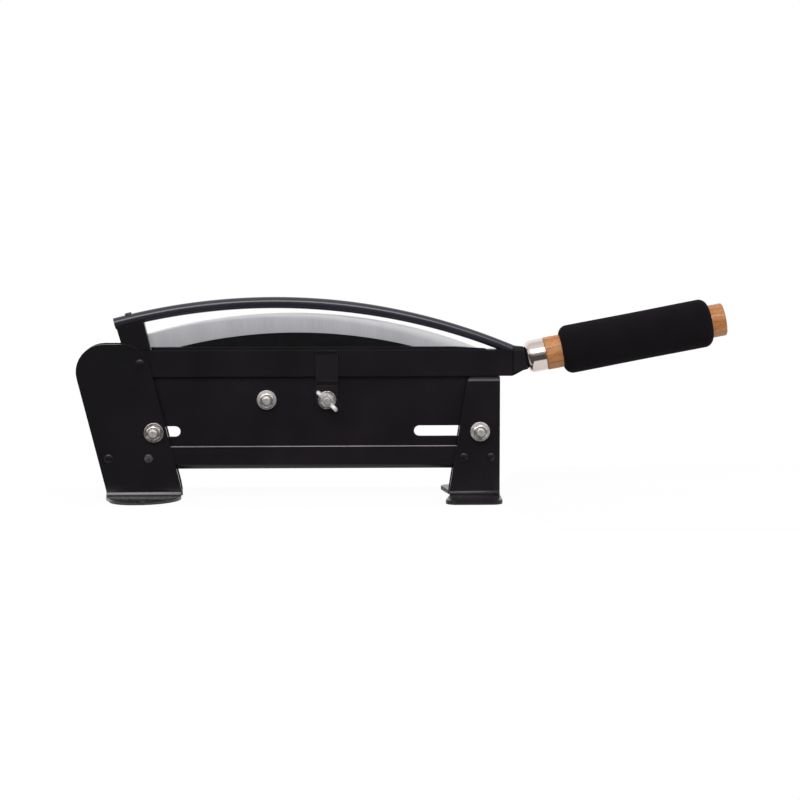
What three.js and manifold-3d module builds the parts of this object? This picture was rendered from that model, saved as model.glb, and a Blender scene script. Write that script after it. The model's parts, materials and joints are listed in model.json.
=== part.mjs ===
// Herb guillotine cutter. A blade with an arched, upward edge stands fixed in a bent-sheet base. A hinged arm
// straddles the blade with two press bars and pushes the herb down past the edge.
// Millimetres, +X towards the handle, +Y away from the user, +Z up. X is counted from the arm's pivot until
// the finished group is centred at the end of the file.
import * as THREE from "three";
import { mergeVertices } from "three/addons/utils/BufferGeometryUtils.js";
import Module from "manifold-3d";

const wasm = await Module();
wasm.setup();

// Clearances
const seatGap = 0.3; // between two pieces that touch or slide on each other
const holePlay = 0.6; // how much wider a hole is than its pin or bolt
const slotPlay = 2; // how much taller the adjusting slots are than their bolts
const blockPlay = 0.5; // between the pivot block and the blade's end
const fullRound = 0.99; // how much of a strip's half width its round end takes

// Sheet and bar thicknesses
const legSheet = 3;
const railWall = 3;
const plateThickness = 3;
const bladeThickness = 2;
const barThickness = 3;
const clipSheet = 1.5;
const bendRadius = 3; // inside radius of the feet's bends
const lipRadius = 1; // inside radius of the rest lip's bend

// Base: left legs
const leftLegWidth = 57.5;
const leftLegAbovePivot = 15;
const leftLegToe = 32.6; // from the pivot to the inner edge, at floor level
const leftLegCorner = 21;
const legLean = 14; // degrees, also the lean of the pivot block
const leftFootDepth = 31;
const leftFootCorner = 19; // outer corner
const leftToeRadius = 33; // inner corner, which starts above the bend
const leftFootStraight = 1; // least straight front edge between those corners

// Base: right legs
const rightLegEdge = 273.1; // from the pivot to the outer edge
const rightLegTopWidth = 24.6;
const rightLegLean = 9; // degrees, of the inner edge
const rightLegCorner = 5;
const rightFootDepth = 37;
const rightFootCorner = 8;

// Base: rail and its rivets
const railBottom = 22.4;
const railHeight = 17.7;
const railEndMargin = 5; // rail past its outermost rivets
const railCorner = 1; // inside radius
const rivetDiameter = 5;
const rivetHeadDiameter = 7;
const rivetHeadHeight = 0.6;
const leftRivetInset = 8.2;
const leftRivetSpacing = 30.3;
const rightRivetInset = 6.9;

// Fasteners
const boltDiameter = 6;
const nutAcrossFlats = 10;
const nutHeight = 5;
const boltHeadHeight = 4;
const boltTail = 2.5; // bolt past its nut
const washerDiameter = 15;
const washerThickness = 1.5;
const spacerDiameter = 12;
const legBoltHeight = 51.1;
const leftBoltOffset = 10; // from the pivot
const rightBoltInset = 15.2; // from the right legs' outer edge

// Blade plate
const slotTravel = 51; // between the centres of a slot's round ends
const leftSlotAhead = 15.8; // from the left bolt to the slot's inner round end
const rightSlotAhead = 46.1;
const plateEndMargin = 5;
const plateInRail = 3.6;
const plateTopRise = 2.4; // plate's top edge above the bars' top edge
const plateSlant = 23; // length of the slight slant up to the blade's right end
const plateTipRise = 0.9; // low end of that slant, above the bars' top edge
const plateEndDrop = 6; // plate's right end, below the bars' top edge
const shoulderDrop = 4.6; // plate's left shoulder below the bars
const plateCorner = 3;

// Blade
const edgeRadius = 387;
const edgeRise = 28; // height of the edge's crest above the bars
const edgeCrestX = 114.4;
const bevelWidth = 14.9;
const bevelDrift = 4; // how far the bevel's inner line lies to the right of the edge's arc
const edgeThickness = 0.3;
const bladeTipInset = 11; // blade's right end, inside the right legs' outer edge
const clampBoltDrop = 18; // clamp bolts below the bars
const clampBoltX = 95.5;
const clampBoltSpacing = 45.9;

// Guide clip and wing nut
const clipWidth = 16.6;
const clipTopDrop = 0.2; // clip's top edge below the bars' top edge
const clipFlare = 1; // how far the top lip leans out
const clipFlareHeight = 3;
const clipBarGap = 2.5; // between the top of the clip's joggle and the bars
const clipJoggle = 4.2;
const clipTopCorner = 2;
const guideWasherDiameter = 14;
const wingHubDiameter = 11;
const wingNeckDiameter = 8.5;
const wingNutHeight = 6;
const wingSpan = 21.5;
const wingRise = 5; // wings past the hub
const wingThickness = 2.8;
const wingAngle = 44; // degrees, as the nut is left standing

// Arm: pivot, bars and block
const pivotHeight = 103.2;
const pivotDiameter = 5.6;
const pivotHeadDiameter = 7.6;
const pivotHeadHeight = 0.6;
const barHeight = 20;
const barOverhang = 9.9; // bars past the right legs
const blockWidth = 20.6;
const blockDepth = 10;
const saddleDepth = 1; // how deep the bow sits in the block

// Arm: bow
const rodDiameter = 8.5;
const bowStart = -19.4; // left end, from the pivot
const bowStartRise = 30; // left end, above the pivot
const bowClearance = 3; // between the bow and the blade's edge, closest
const bowClosestX = 180;
const bowEndInset = 1.6; // from the bars' ends back to the end of the arch
const bowEndRise = 0.1; // end of the arch above the bars
const bowTailRadius = 20;
const bowTailTurn = 18; // degrees
const bowPinDiameter = 5.2;
const bowPinX = -8;
const bowPinNub = 1.4;
const bowPinDepth = 10; // in the block

// Arm: neck and handle
const neckLength = 10.4;
const neckWidth = 13;
const neckRise = 2.7; // neck's top above the bars
const neckFaceHeight = 16.8;
const neckCorner = 4;
const neckShoulder = 4.3; // height of the slanted underside
const neckShoulderLength = 7.5;
const tongueLength = 8;
const tongueHeight = 11;
const tangDiameter = 8;
const tangLength = 62;
const handleRise = 3.6; // handle's start above the pivot
const handleTilt = 10.85; // degrees
const handleLength = 154.4;
const woodDiameter = 25;
const woodEndRound = 3;
const ferruleLength = 14.6;
const ferruleWall = 1;
const ferruleShoulder = 5;
const foamDiameter = 37;
const foamStart = 25.9;
const foamLength = 117.5;
const foamRound = 6;

// Facets
const arcSteps = 5; // half the facets of each arc in an outline
const toeSteps = 10; // facets of the left foot's inner corner
const turnSteps = 4; // facets of each arc in a turned profile
const roundSides = 16; // sides of a pin or a hole
const bladeSides = 320; // sides of the full circle that the edge is part of
const handleSides = 32;
const rodSides = 7; // half the sides of the bow's section
const bowSteps = 36;
const mergeDistance = 1e-3;

// Depth layers, counted from the middle of the blade's stack
const stackHalf = (plateThickness + seatGap + bladeThickness) / 2;
const plateFront = -stackHalf;
const plateRear = plateFront + plateThickness;
const bladeRear = stackHalf;
const bladeFront = bladeRear - bladeThickness;
const barInner = stackHalf + seatGap;
const barOuter = barInner + barThickness;
const legInner = barOuter + seatGap;
const legOuter = legInner + legSheet;

// Heights and places that follow from the sizes above
const barTop = pivotHeight + barHeight / 2;
const barBottom = pivotHeight - barHeight / 2;
const barEnd = rightLegEdge + barOverhang;
const railTop = railBottom + railHeight;
const rivetHeight = railBottom + railHeight / 2;
const rightLegTop = barBottom - seatGap;
const leftLegTop = pivotHeight + leftLegAbovePivot;
const clampBoltHeight = barBottom - clampBoltDrop;
const edgeCrest = barTop + edgeRise;
const leanSlope = Math.tan(THREE.MathUtils.degToRad(legLean));
const rightSlope = Math.tan(THREE.MathUtils.degToRad(rightLegLean));
const leftLegInnerEdge = (z) => leftLegToe - leanSlope * z;
const leftLegOuterEdge = (z) => leftLegInnerEdge(z) - leftLegWidth;
const rightLegInnerEdge = (z) => rightLegEdge - rightLegTopWidth - rightSlope * (rightLegTop - z);
const leftRivetX = leftLegOuterEdge(rivetHeight) + leftRivetInset;
const rivetXs = {
  left_outer: leftRivetX,
  left_inner: leftRivetX + leftRivetSpacing,
  right_inner: rightLegInnerEdge(rivetHeight) + rightRivetInset,
  right_outer: rightLegEdge - rightRivetInset,
};
const leftBoltX = leftBoltOffset;
const rightBoltX = rightLegEdge - rightBoltInset;
const guideBoltX = clampBoltX + clampBoltSpacing;
const edgeCentreZ = edgeCrest - edgeRadius;
const bladeTipX = rightLegEdge - bladeTipInset;
const edgeHeight = (x) => edgeCentreZ + Math.sqrt(edgeRadius ** 2 - (x - edgeCrestX) ** 2);
const handleStart = new THREE.Vector3(barEnd + neckLength, 0, pivotHeight + handleRise);
const tilt = THREE.MathUtils.degToRad(handleTilt);
const handleAxis = new THREE.Vector3(Math.cos(tilt), 0, Math.sin(tilt));

// Finishes
const blackPaint = { color: 0x1f1c1f, roughness: 0.5, metalness: 0.1 };
const blackenedSteel = { color: 0x2b2b31, roughness: 0.35, metalness: 0.6 };
const groundSteel = { color: 0xb0b0b5, roughness: 0.35, metalness: 1 };
const zincPlate = { color: 0xc9c8c4, roughness: 0.3, metalness: 1 };
const nickelPlate = { color: 0xe6e0d8, roughness: 0.2, metalness: 1 };
const turnedWood = { color: 0xc08a60, roughness: 0.6, metalness: 0 };
const blackFoam = { color: 0x171417, roughness: 0.95, metalness: 0 };

// Closed solids, joined and cut
function solid(geometry) {
  geometry.deleteAttribute("normal");
  geometry.deleteAttribute("uv");
  const merged = mergeVertices(geometry, mergeDistance);
  const corners = merged.index.array;
  const triVerts = [];
  for (let i = 0; i < corners.length; i += 3) {
    const [a, b, c] = corners.slice(i, i + 3);
    if (a !== b && b !== c && c !== a) triVerts.push(a, b, c);
  }
  const mesh = new wasm.Mesh({
    numProp: 3,
    vertProperties: merged.attributes.position.array,
    triVerts: new Uint32Array(triVerts),
  });
  return new wasm.Manifold(mesh);
}

function addPiece(parent, name, body, finish) {
  const { vertProperties, triVerts } = body.getMesh();
  const geometry = new THREE.BufferGeometry();
  geometry.setAttribute("position", new THREE.BufferAttribute(new Float32Array(vertProperties), 3));
  geometry.setIndex(new THREE.BufferAttribute(new Uint32Array(triVerts), 1));
  geometry.computeVertexNormals();
  const mesh = new THREE.Mesh(geometry, new THREE.MeshStandardMaterial(finish));
  mesh.name = name;
  parent.add(mesh);
}

const cutAll = (body, tools) => tools.reduce((rest, tool) => rest.subtract(tool), body);

// An outline whose corners, given counter-clockwise as [x, y, radius], are rounded by arcs. It starts at a
// rounded corner where there is one, because an arc draws its own line from the corner before it.
function outline(givenCorners) {
  const start = Math.max(0, givenCorners.findIndex(([, , radius]) => radius > 0));
  const corners = [...givenCorners.slice(start), ...givenCorners.slice(0, start)];
  const shape = new THREE.Shape();
  corners.forEach(([x, y, radius = 0], i) => {
    const here = new THREE.Vector2(x, y);
    const [beforeX, beforeY] = corners[(i + corners.length - 1) % corners.length];
    const [afterX, afterY] = corners[(i + 1) % corners.length];
    const back = new THREE.Vector2(beforeX, beforeY).sub(here).normalize();
    const ahead = new THREE.Vector2(afterX, afterY).sub(here).normalize();
    const turn = ahead.cross(back);
    const half = Math.acos(THREE.MathUtils.clamp(back.dot(ahead), -1, 1)) / 2;
    if (radius === 0) {
      if (i === 0) shape.moveTo(x, y);
      else shape.lineTo(x, y);
      return;
    }
    const middle = back.clone().add(ahead).normalize();
    const centre = middle.multiplyScalar(radius / Math.sin(half)).add(here);
    const reach = radius / Math.tan(half);
    const from = back.multiplyScalar(reach).add(here).sub(centre).angle();
    const to = ahead.multiplyScalar(reach).add(here).sub(centre).angle();
    shape.absarc(centre.x, centre.y, radius, from, to, turn < 0);
  });
  return shape;
}

function roundHole(x, y, diameter) {
  const hole = new THREE.Path();
  hole.absarc(x, y, diameter / 2, 0, 2 * Math.PI, true);
  return hole;
}

// Extrusions: an outline in XZ between two depths, one in YZ along X, and one in XY between two heights
const alongY = new THREE.Matrix4().makeBasis(
  new THREE.Vector3(1, 0, 0),
  new THREE.Vector3(0, 0, 1),
  new THREE.Vector3(0, -1, 0),
);
const alongX = new THREE.Matrix4().makeBasis(
  new THREE.Vector3(0, 1, 0),
  new THREE.Vector3(0, 0, 1),
  new THREE.Vector3(1, 0, 0),
);

function extruded(shape, depth) {
  return new THREE.ExtrudeGeometry(shape, { depth, bevelEnabled: false, curveSegments: arcSteps });
}

function slab(shape, front, rear) {
  return solid(extruded(shape, rear - front).applyMatrix4(alongY).translate(0, rear, 0));
}

function strip(shape, left, right) {
  return solid(extruded(shape, right - left).applyMatrix4(alongX).translate(left, 0, 0));
}

function layer(shape, low, high) {
  return solid(extruded(shape, high - low).translate(0, 0, low));
}

// Rounds: a cylinder along Y, and a profile of [radius, distance] points turned about Y
function roundBar(x, z, diameter, front, rear) {
  const bar = new THREE.CylinderGeometry(diameter / 2, diameter / 2, rear - front, roundSides);
  return solid(bar.translate(x, (front + rear) / 2, z));
}

function lathed(points, sides) {
  return new THREE.LatheGeometry(points.map(([r, y]) => new THREE.Vector2(r, y)), sides);
}

function turned(points, sides = roundSides) {
  return solid(lathed(points, sides));
}

function arcPoints(centreR, centreY, radius, from, to) {
  return Array.from({ length: turnSteps + 1 }, (_, i) => {
    const angle = THREE.MathUtils.degToRad(from + ((to - from) * i) / turnSteps);
    return [centreR + radius * Math.cos(angle), centreY + radius * Math.sin(angle)];
  });
}

function mirroredToRear(body) {
  const { vertProperties, triVerts } = body.getMesh();
  const geometry = new THREE.BufferGeometry();
  geometry.setAttribute("position", new THREE.BufferAttribute(new Float32Array(vertProperties), 3));
  geometry.setIndex(Array.from(triVerts).reverse());
  return solid(geometry.scale(1, -1, 1));
}

// Legs: one bent strip, trimmed to the upright's outline above the bend and to the foot's outline below it
const bendTop = legSheet + bendRadius;

function bentLeg(profile, upright, foot, footTip, holes) {
  const xs = [...upright.getPoints(arcSteps), ...foot.getPoints(arcSteps)].map((point) => point.x);
  const sheet = strip(profile, Math.min(...xs) - legSheet, Math.max(...xs) + legSheet);
  const mask = slab(upright, -footTip - legSheet, 0).add(layer(foot, -legSheet, bendTop));
  return cutAll(sheet.intersect(mask), holes);
}

function legHole(x, z, diameter) {
  return roundBar(x, z, diameter + holePlay, -legOuter - seatGap, -legInner + seatGap);
}

// The left leg's inner corner, from the straight edge to the foot's front, as points of x and of the distance
// along the flat sheet from the foot's tip. In the bent leg its upper end lies on the upright.
const bendMiddle = bendRadius + legSheet / 2;
const leftFootFlat = leftFootDepth - bendRadius;
const leftBendEnd = leftFootFlat + (bendMiddle * Math.PI) / 2;

function leftToe() {
  const lean = THREE.MathUtils.degToRad(legLean);
  const edgeAtCentre = leftLegInnerEdge(bendTop + leftToeRadius - leftBendEnd);
  const centre = edgeAtCentre - leftToeRadius / Math.cos(lean);
  return Array.from({ length: toeSteps + 1 }, (_, i) => {
    const turn = lean - ((lean + Math.PI / 2) * i) / toeSteps;
    return [centre + leftToeRadius * Math.cos(turn), leftToeRadius * (1 + Math.sin(turn))];
  });
}

function leftFrontLeg() {
  const tip = legOuter + leftFootDepth;
  const bendStart = -legOuter - bendRadius;
  const profile = outline([
    [-tip, 0],
    [-legInner, 0, bendTop],
    [-legInner, leftLegTop],
    [-legOuter, leftLegTop],
    [-legOuter, legSheet, bendRadius],
    [-tip, legSheet],
  ]);
  const toe = leftToe().reverse();
  const onFoot = toe.filter(([, at]) => at <= leftBendEnd);
  const onUpright = toe.filter(([, at]) => at > leftBendEnd);
  const [toeX] = onFoot.at(-1);
  const outer = leftLegOuterEdge(bendTop);
  const upright = outline([
    [outer, bendTop],
    [toeX, bendTop],
    ...onUpright.map(([x, at]) => [x, bendTop + at - leftBendEnd]),
    [leftLegInnerEdge(leftLegTop), leftLegTop, leftLegCorner],
    [leftLegOuterEdge(leftLegTop), leftLegTop, leftLegCorner],
  ]);
  const roundTheBend = (at) => Math.max(0, at - leftFootFlat) / bendMiddle;
  const outerTip = outer + leanSlope * leftFootDepth;
  const [toeTip] = toe[0];
  const halfCorner = (Math.PI / 2 + Math.atan2(outerTip - outer, leftFootFlat)) / 2;
  const cornerRoom = (toeTip - outerTip - leftFootStraight) * Math.tan(halfCorner);
  const foot = outline([
    [toeX, 0],
    [outer, 0],
    [outer, bendStart],
    [outerTip, -tip, Math.min(leftFootCorner, cornerRoom)],
    ...onFoot.map(([x, at]) => [
      x,
      Math.min(at, leftFootFlat) - tip + bendMiddle * Math.sin(roundTheBend(at)),
    ]),
  ]);
  return bentLeg(profile, upright, foot, tip, [
    legHole(0, pivotHeight, pivotDiameter),
    legHole(leftBoltX, legBoltHeight, boltDiameter),
    legHole(rivetXs.left_outer, rivetHeight, rivetDiameter),
    legHole(rivetXs.left_inner, rivetHeight, rivetDiameter),
  ]);
}

function rightFrontLeg() {
  const tip = legOuter + rightFootDepth;
  const lipUnder = rightLegTop - legSheet;
  const profile = outline([
    [-tip, 0],
    [-legInner, 0, bendTop],
    [-legInner, lipUnder, lipRadius],
    [-barInner, lipUnder],
    [-barInner, rightLegTop],
    [-legOuter, rightLegTop, lipRadius + legSheet],
    [-legOuter, legSheet, bendRadius],
    [-tip, legSheet],
  ]);
  const upright = outline([
    [rightLegInnerEdge(bendTop), bendTop],
    [rightLegEdge, bendTop],
    [rightLegEdge, rightLegTop],
    [rightLegInnerEdge(rightLegTop), rightLegTop, rightLegCorner],
  ]);
  const inner = rightLegInnerEdge(bendTop);
  const foot = outline([
    [rightLegEdge, 0],
    [inner, 0],
    [inner, -legOuter - bendRadius],
    [inner - rightSlope * rightFootDepth, -tip, rightFootCorner],
    [rightLegEdge, -tip, rightFootCorner],
  ]);
  return bentLeg(profile, upright, foot, tip, [
    legHole(rightBoltX, legBoltHeight, boltDiameter),
    legHole(rivetXs.right_inner, rivetHeight, rivetDiameter),
    legHole(rivetXs.right_outer, rivetHeight, rivetDiameter),
  ]);
}

// Rail: a channel that lies between the front and rear legs
function baseRail() {
  const outerCorner = railCorner + railWall;
  const floorTop = railBottom + railWall;
  const inner = barOuter - railWall;
  const channel = outline([
    [-barOuter, railBottom, outerCorner],
    [barOuter, railBottom, outerCorner],
    [barOuter, railTop],
    [inner, railTop],
    [inner, floorTop, railCorner],
    [-inner, floorTop, railCorner],
    [-inner, railTop],
    [-barOuter, railTop],
  ]);
  const rail = strip(channel, rivetXs.left_outer - railEndMargin, rivetXs.right_outer + railEndMargin);
  const holes = Object.values(rivetXs).map((x) =>
    roundBar(x, rivetHeight, rivetDiameter + holePlay, -legInner, legInner),
  );
  return cutAll(rail, holes);
}

// A pin along Y with a domed head on each end, the heads seated on the legs' outer faces
function headedPin(x, z, diameter, headDiameter, headHeight) {
  const seat = legOuter + seatGap;
  const headRadius = headDiameter / 2;
  const dome = (headRadius ** 2 + headHeight ** 2) / (2 * headHeight);
  const span = THREE.MathUtils.radToDeg(Math.asin(headRadius / dome));
  const centre = seat + headHeight - dome;
  const pin = turned([
    ...arcPoints(0, -centre, dome, -90, span - 90),
    [diameter / 2, -seat],
    [diameter / 2, seat],
    ...arcPoints(0, centre, dome, 90 - span, 90),
  ]);
  return pin.translate([x, 0, z]);
}

// Blade plate: an upright sheet whose two slots let it be set along the legs' bolts
function slotHole(innerX, outerX) {
  const radius = (boltDiameter + slotPlay) / 2;
  const [left, right] = [Math.min(innerX, outerX), Math.max(innerX, outerX)];
  const hole = new THREE.Path();
  hole.absarc(right, legBoltHeight, radius, Math.PI / 2, -Math.PI / 2, true);
  hole.absarc(left, legBoltHeight, radius, -Math.PI / 2, -1.5 * Math.PI, true);
  return hole;
}

function bladePlate() {
  const slotEnd = (boltDiameter + slotPlay) / 2 + plateEndMargin;
  const leftOuter = leftBoltX + leftSlotAhead - slotTravel;
  const rightOuter = rightBoltX - rightSlotAhead + slotTravel;
  const bottom = railTop - plateInRail;
  const shoulder = barBottom - shoulderDrop;
  const stepX = blockWidth / 2 + blockPlay;
  const top = barTop + plateTopRise;
  const shape = outline([
    [leftOuter - slotEnd, bottom, plateCorner],
    [rightOuter + slotEnd, bottom, plateCorner],
    [rightOuter + slotEnd, barTop - plateEndDrop, plateCorner],
    [bladeTipX, barTop + plateTipRise],
    [bladeTipX - plateSlant, top],
    [stepX, top],
    [stepX, shoulder],
    [leftOuter - slotEnd, shoulder, plateCorner],
  ]);
  shape.holes.push(
    slotHole(leftBoltX + leftSlotAhead, leftOuter),
    slotHole(rightBoltX - rightSlotAhead, rightOuter),
    roundHole(clampBoltX, clampBoltHeight, boltDiameter + holePlay),
    roundHole(guideBoltX, clampBoltHeight, boltDiameter + holePlay),
  );
  return slab(shape, plateFront, plateRear);
}

// Blade: a disc whose bevel is a slanted cone, trimmed to the stretch of edge above the plate
function blade() {
  const bevelRear = bladeRear - edgeThickness;
  const bevelDepth = bevelRear - bladeFront;
  const bevel = lathed(
    [
      [0, -bevelDepth],
      [edgeRadius - bevelWidth, -bevelDepth],
      [edgeRadius, 0],
      [0, 0],
    ],
    bladeSides,
  );
  bevel.applyMatrix4(new THREE.Matrix4().makeShear(0, 0, -bevelDrift / bevelDepth, 0, 0, 0));
  const edgeDisc = lathed(
    [
      [0, 0],
      [edgeRadius, 0],
      [edgeRadius, edgeThickness],
      [0, edgeThickness],
    ],
    bladeSides,
  );
  const disc = solid(bevel).add(solid(edgeDisc)).translate([edgeCrestX, bevelRear, edgeCentreZ]);
  const endX = blockWidth / 2 + blockPlay;
  const bottom = (clampBoltHeight + legBoltHeight) / 2;
  const above = edgeCrest + bevelWidth;
  const trim = outline([
    [endX, bottom, plateCorner],
    [bladeTipX, bottom, plateCorner],
    [bladeTipX, above],
    [endX - leanSlope * (above - pivotHeight), above],
    [endX, pivotHeight],
  ]);
  trim.holes.push(
    roundHole(clampBoltX, clampBoltHeight, boltDiameter + holePlay),
    roundHole(guideBoltX, clampBoltHeight, boltDiameter + holePlay),
  );
  return disc.intersect(slab(trim, bladeFront - seatGap, bladeRear + seatGap));
}

// Fasteners, all along Y with their nuts to the front
function hexBlock(front, rear) {
  const corner = nutAcrossFlats / Math.sqrt(3);
  const flat = nutAcrossFlats / 2;
  const chamfer = (corner - flat) / 2;
  const hex = new THREE.CylinderGeometry(corner, corner, rear - front, 6).translate(0, (front + rear) / 2, 0);
  const barrel = turned([
    [0, front],
    [flat, front],
    [corner, front + chamfer],
    [corner, rear - chamfer],
    [flat, rear],
    [0, rear],
  ]);
  return solid(hex).intersect(barrel);
}

function ring(outerDiameter, innerDiameter, front, rear) {
  const [outer, inner] = [outerDiameter / 2, innerDiameter / 2];
  return turned([
    [inner, front],
    [outer, front],
    [outer, rear],
    [inner, rear],
    [inner, front],
  ]);
}

function hexBolt(headFront, tailFront) {
  const head = hexBlock(headFront, headFront + boltHeadHeight);
  return head.add(roundBar(0, 0, boltDiameter, tailFront, headFront + boltHeadHeight / 2));
}

function hexNut(rear) {
  const front = rear - nutHeight;
  const bore = roundBar(0, 0, boltDiameter + holePlay, front - seatGap, rear + seatGap);
  return hexBlock(front, rear).subtract(bore);
}

const boltHole = boltDiameter + holePlay;
const washerOn = (face, diameter) =>
  ring(diameter, boltHole, face - seatGap - washerThickness, face - seatGap);
const nutSeat = (face) => face - 2 * seatGap - washerThickness;

function wingNut(rear) {
  const front = rear - wingNutHeight;
  const hub = turned([
    [0, front],
    [wingNeckDiameter / 2, front],
    [wingHubDiameter / 2, rear],
    [0, rear],
  ]);
  const wingRoot = boltHole / 2;
  const reach = wingSpan / 2;
  const wing = outline([
    [wingRoot, rear - wingThickness / 2],
    [wingRoot, front],
    [reach - wingRise, front - wingRise, wingThickness],
    [reach, front - wingRise, wingThickness],
    [reach, front, wingThickness],
    [wingHubDiameter / 2 + wingThickness, rear - wingThickness / 2, wingThickness],
  ]);
  const half = wingThickness / 2;
  const fromFront = outline([
    [0, -half],
    [reach, -half, fullRound * half],
    [reach, half, fullRound * half],
    [0, half],
  ]);
  const sheet = solid(extruded(wing, wingThickness).translate(0, 0, -half));
  const right = sheet.intersect(slab(fromFront, front - wingRise - seatGap, rear + seatGap));
  const left = right.rotate([0, 180, 0]);
  const bore = roundBar(0, 0, boltHole, front - wingRise, rear + seatGap);
  return hub.add(right).add(left).subtract(bore);
}

// Guide clip: a flat pad under the wing nut, a joggle, and a finger that keeps the front bar against the plate
function guideClip() {
  const pad = plateFront - seatGap;
  const finger = -barOuter - seatGap;
  const lowest = clampBoltHeight - clipWidth / 2;
  const fingerStart = barBottom - clipBarGap;
  const padTop = fingerStart - clipJoggle;
  const top = barTop - clipTopDrop;
  const flareStart = top - clipFlareHeight;
  const bendShift = clipSheet * Math.tan(Math.atan2(pad - finger, clipJoggle) / 2);
  const profile = outline([
    [pad - clipSheet, lowest],
    [pad, lowest],
    [pad, padTop],
    [finger, fingerStart],
    [finger, flareStart],
    [finger - clipFlare, top],
    [finger - clipFlare - clipSheet, top],
    [finger - clipSheet, flareStart],
    [finger - clipSheet, fingerStart - bendShift],
    [pad - clipSheet, padTop - bendShift],
  ]);
  const [left, right] = [guideBoltX - clipWidth / 2, guideBoltX + clipWidth / 2];
  const face = outline([
    [left, lowest, fullRound * clipWidth / 2],
    [right, lowest, fullRound * clipWidth / 2],
    [right, top, clipTopCorner],
    [left, top, clipTopCorner],
  ]);
  face.holes.push(roundHole(guideBoltX, clampBoltHeight, boltHole));
  return strip(profile, left, right).intersect(slab(face, -legOuter - clipFlare, 0));
}

// Bow: an arch from the pivot block over the blade's edge, with a short reverse bend into the neck
class FlatPath extends THREE.Curve {
  constructor(path) {
    super();
    this.path = path;
  }

  getPoint(t) {
    const { x, y } = this.path.getPoint(t);
    return new THREE.Vector3(x, 0, y);
  }
}

function circleThrough(a, b, c) {
  const d = 2 * (a.x * (b.y - c.y) + b.x * (c.y - a.y) + c.x * (a.y - b.y));
  const [aa, bb, cc] = [a.lengthSq(), b.lengthSq(), c.lengthSq()];
  const x = (aa * (b.y - c.y) + bb * (c.y - a.y) + cc * (a.y - b.y)) / d;
  const y = (aa * (c.x - b.x) + bb * (a.x - c.x) + cc * (b.x - a.x)) / d;
  const centre = new THREE.Vector2(x, y);
  return { centre, radius: centre.distanceTo(a) };
}

const bowFrom = new THREE.Vector2(bowStart, pivotHeight + bowStartRise);
const bowTo = new THREE.Vector2(barEnd - bowEndInset, barTop + bowEndRise);
const edgeCentre = new THREE.Vector2(edgeCrestX, edgeCentreZ);
const overEdge = new THREE.Vector2(bowClosestX, edgeHeight(bowClosestX)).sub(edgeCentre);
overEdge.setLength(edgeRadius + bowClearance + rodDiameter / 2).add(edgeCentre);
const arch = circleThrough(bowFrom, overEdge, bowTo);
const bowHeight = (x) => arch.centre.y + Math.sqrt(arch.radius ** 2 - (x - arch.centre.x) ** 2);
const bowLean = (x) => Math.asin((x - arch.centre.x) / arch.radius);

function bowTube(diameter, endLength) {
  const from = bowFrom.clone().sub(arch.centre).angle();
  const to = bowTo.clone().sub(arch.centre).angle();
  const path = new THREE.Path();
  path.absarc(arch.centre.x, arch.centre.y, arch.radius, from, to, true);
  const outward = bowTo.clone().sub(arch.centre).normalize();
  const tailCentre = bowTo.clone().addScaledVector(outward, bowTailRadius);
  const tailFrom = to + Math.PI;
  const tailTo = tailFrom + THREE.MathUtils.degToRad(bowTailTurn);
  path.absarc(tailCentre.x, tailCentre.y, bowTailRadius, tailFrom, tailTo, false);
  const end = path.currentPoint;
  path.lineTo(end.x - endLength * Math.sin(tailTo), end.y + endLength * Math.cos(tailTo));
  const section = new THREE.Shape();
  section.absarc(0, 0, diameter / 2, 0, 2 * Math.PI, false);
  const settings = { steps: bowSteps, curveSegments: rodSides, extrudePath: new FlatPath(path) };
  return solid(new THREE.ExtrudeGeometry(section, settings));
}

const bowRoom = bowTube(rodDiameter + 2 * seatGap, 2 * seatGap);

// A round bar square to the bow at the bow pin, from a depth below the bow's centre line to a height above it
function acrossBow(diameter, below, above) {
  const bar = new THREE.CylinderGeometry(diameter / 2, diameter / 2, below + above, roundSides);
  bar.translate(0, (above - below) / 2, 0).rotateX(Math.PI / 2);
  bar.rotateY(bowLean(bowPinX));
  return solid(bar.translate(bowPinX, 0, bowHeight(bowPinX)));
}

function bowRod() {
  const hole = acrossBow(bowPinDiameter + holePlay, rodDiameter, rodDiameter);
  return bowTube(rodDiameter, seatGap).subtract(hole);
}

const pinBelow = rodDiameter / 2 + bowPinDepth;
const bowPin = () => acrossBow(bowPinDiameter, pinBelow, rodDiameter / 2 + bowPinNub);

// Press bars: round about the pivot, square at the neck, notched where the bow dips between them
function frontBar() {
  const shape = outline([
    [-barHeight / 2, barBottom, fullRound * barHeight / 2],
    [barEnd, barBottom],
    [barEnd, barTop],
    [-barHeight / 2, barTop, fullRound * barHeight / 2],
  ]);
  shape.holes.push(roundHole(0, pivotHeight, pivotDiameter + holePlay));
  return slab(shape, -barOuter, -barInner).subtract(bowRoom);
}

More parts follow.
